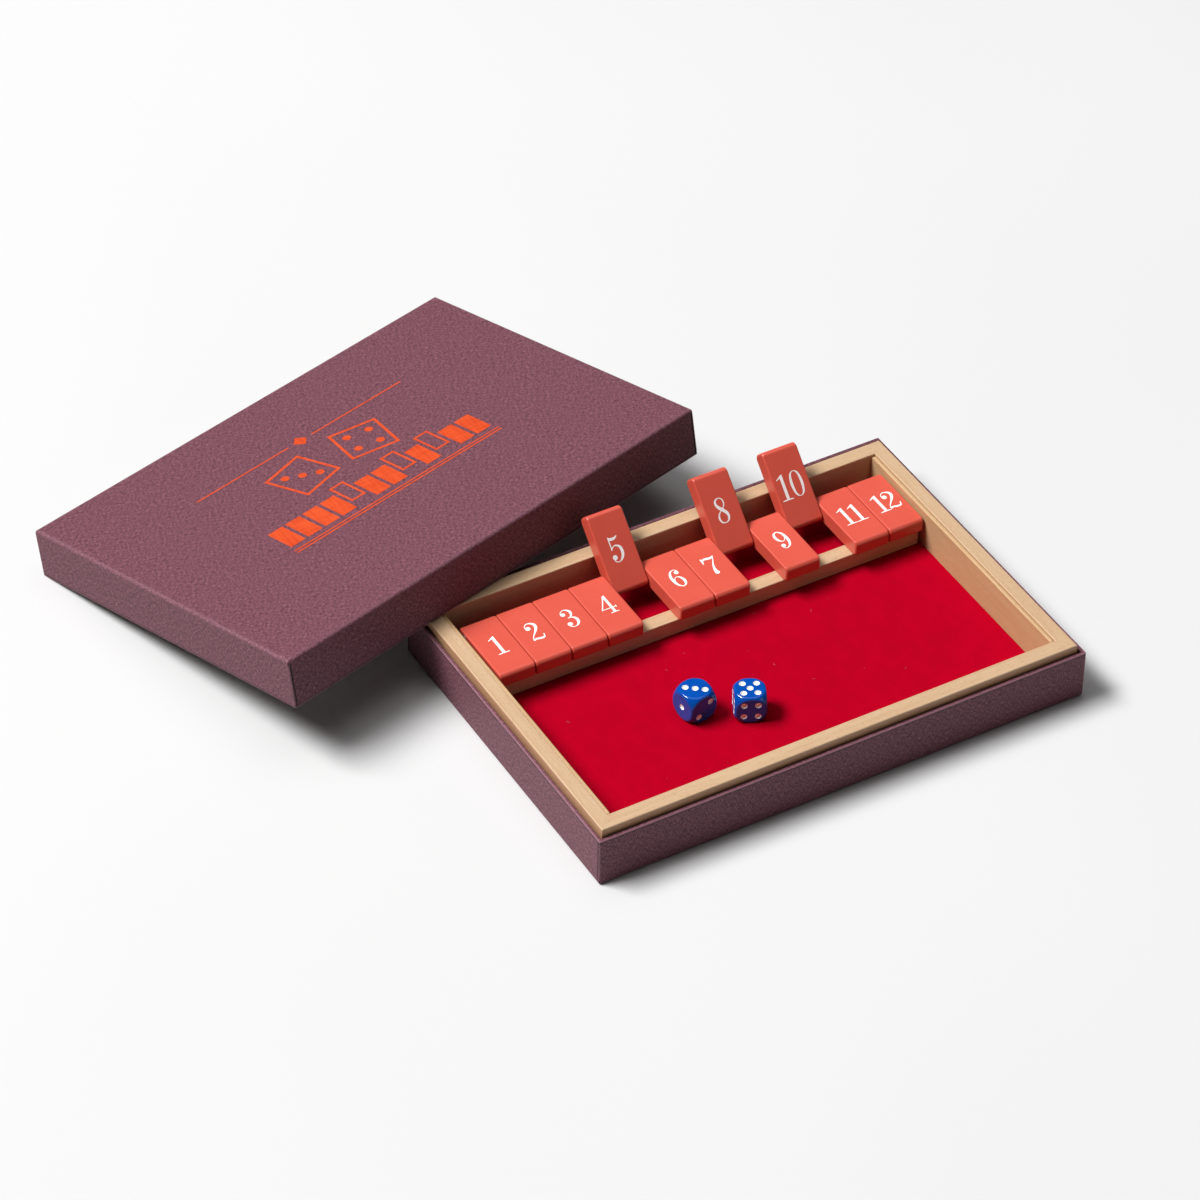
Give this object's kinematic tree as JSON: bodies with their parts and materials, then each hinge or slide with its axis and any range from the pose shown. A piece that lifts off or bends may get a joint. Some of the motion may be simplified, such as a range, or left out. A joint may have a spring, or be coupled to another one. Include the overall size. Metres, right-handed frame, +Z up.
{
  "type": "shut the box game",
  "caption": "Shallow lidded box game: a felt-lined wooden dice tray with a row of hinged number tiles on a steel rod, loose dice and a lift-off lid.",
  "frame": {"origin": "centre of the base's underside, on the surface that it stands on", "axes": "+X along the row of tiles from the lowest number to the highest, +Y from the player's side towards the tiles, +Z up"},
  "size_m": [0.4091, 0.4077, 0.0599],
  "materials": {
    "plum_paper": "linen-textured covering paper, matt, plum",
    "grey_board": "raw grey board, matt",
    "lining_paper": "plain uncoated paper, matt",
    "pale_wood": "fine-grained pale wood, sanded, thin satin lacquer",
    "fibreboard": "fibreboard, matt",
    "red_felt": "short wool felt, matt crimson",
    "steel": "plain drawn steel",
    "coral_paint": "wood under satin coral paint, with white printed numerals",
    "blue_plastic": "glossy moulded plastic, blue",
    "white_paint": "white paint in the drilled pips"
  },
  "bodies": {
    "box": {"base_board": "grey_board", "base_wrap": "plum_paper", "tray_wall_front": "pale_wood", "tray_wall_back": "pale_wood", "tray_wall_left": "pale_wood", "tray_wall_right": "pale_wood", "tray_floor_panel": "fibreboard", "tray_felt": "red_felt", "side_liner_left": "pale_wood", "side_liner_right": "pale_wood", "tile_rest_rail": "pale_wood", "hinge_rod": "steel", "spacer_washers": "steel"},
    "tile_01": {"tile_01": "coral_paint"},
    "tile_02": {"tile_02": "coral_paint"},
    "tile_03": {"tile_03": "coral_paint"},
    "tile_04": {"tile_04": "coral_paint"},
    "tile_05": {"tile_05": "coral_paint"},
    "tile_06": {"tile_06": "coral_paint"},
    "tile_07": {"tile_07": "coral_paint"},
    "tile_08": {"tile_08": "coral_paint"},
    "tile_09": {"tile_09": "coral_paint"},
    "tile_10": {"tile_10": "coral_paint"},
    "tile_11": {"tile_11": "coral_paint"},
    "tile_12": {"tile_12": "coral_paint"},
    "die_one": {"die_one": "blue_plastic", "die_one_pips": "white_paint"},
    "die_two": {"die_two": "blue_plastic", "die_two_pips": "white_paint"},
    "lid": {"lid_board": "grey_board", "lid_wrap": "plum_paper", "lid_lining": "lining_paper"}
  },
  "joints": [
    {"name": "tile_01_hinge", "type": "hinge", "parent": "box", "child": "tile_01", "pos_m": [0, 0.0655, 0.0239], "axis": [-1, 0, 0], "range_deg": [0, 110]},
    {"name": "tile_02_hinge", "type": "hinge", "parent": "box", "child": "tile_02", "pos_m": [0, 0.0655, 0.0239], "axis": [-1, 0, 0], "range_deg": [0, 120]},
    {"name": "tile_03_hinge", "type": "hinge", "parent": "box", "child": "tile_03", "pos_m": [0, 0.0655, 0.0239], "axis": [-1, 0, 0], "range_deg": [0, 130]},
    {"name": "tile_04_hinge", "type": "hinge", "parent": "box", "child": "tile_04", "pos_m": [0, 0.0655, 0.0239], "axis": [-1, 0, 0], "range_deg": [0, 134.9]},
    {"name": "tile_05_hinge", "type": "hinge", "parent": "box", "child": "tile_05", "pos_m": [0, 0.0655, 0.0239], "axis": [-1, 0, 0], "range_deg": [-134.9, 0]},
    {"name": "tile_06_hinge", "type": "hinge", "parent": "box", "child": "tile_06", "pos_m": [0, 0.0655, 0.0239], "axis": [-1, 0, 0], "range_deg": [0, 134.9]},
    {"name": "tile_07_hinge", "type": "hinge", "parent": "box", "child": "tile_07", "pos_m": [0, 0.0655, 0.0239], "axis": [-1, 0, 0], "range_deg": [0, 134.9]},
    {"name": "tile_08_hinge", "type": "hinge", "parent": "box", "child": "tile_08", "pos_m": [0, 0.0655, 0.0239], "axis": [-1, 0, 0], "range_deg": [-134.9, 0]},
    {"name": "tile_09_hinge", "type": "hinge", "parent": "box", "child": "tile_09", "pos_m": [0, 0.0655, 0.0239], "axis": [-1, 0, 0], "range_deg": [0, 134.9]},
    {"name": "tile_10_hinge", "type": "hinge", "parent": "box", "child": "tile_10", "pos_m": [0, 0.0655, 0.0239], "axis": [-1, 0, 0], "range_deg": [-134.9, 0]},
    {"name": "tile_11_hinge", "type": "hinge", "parent": "box", "child": "tile_11", "pos_m": [0, 0.0655, 0.0239], "axis": [-1, 0, 0], "range_deg": [0, 134.9]},
    {"name": "tile_12_hinge", "type": "hinge", "parent": "box", "child": "tile_12", "pos_m": [0, 0.0655, 0.0239], "axis": [-1, 0, 0], "range_deg": [0, 134.9]},
    {"name": "die_one_lift", "type": "slide", "parent": "box", "child": "die_one", "axis": [0, 0, 1], "range_m": [0, 0.06]},
    {"name": "die_two_lift", "type": "slide", "parent": "box", "child": "die_two", "axis": [0, 0, 1], "range_m": [0, 0.06]},
    {"name": "lid_lift", "type": "slide", "parent": "box", "child": "lid", "axis": [0, 0, 1], "range_m": [0, 0.08]}
  ]
}
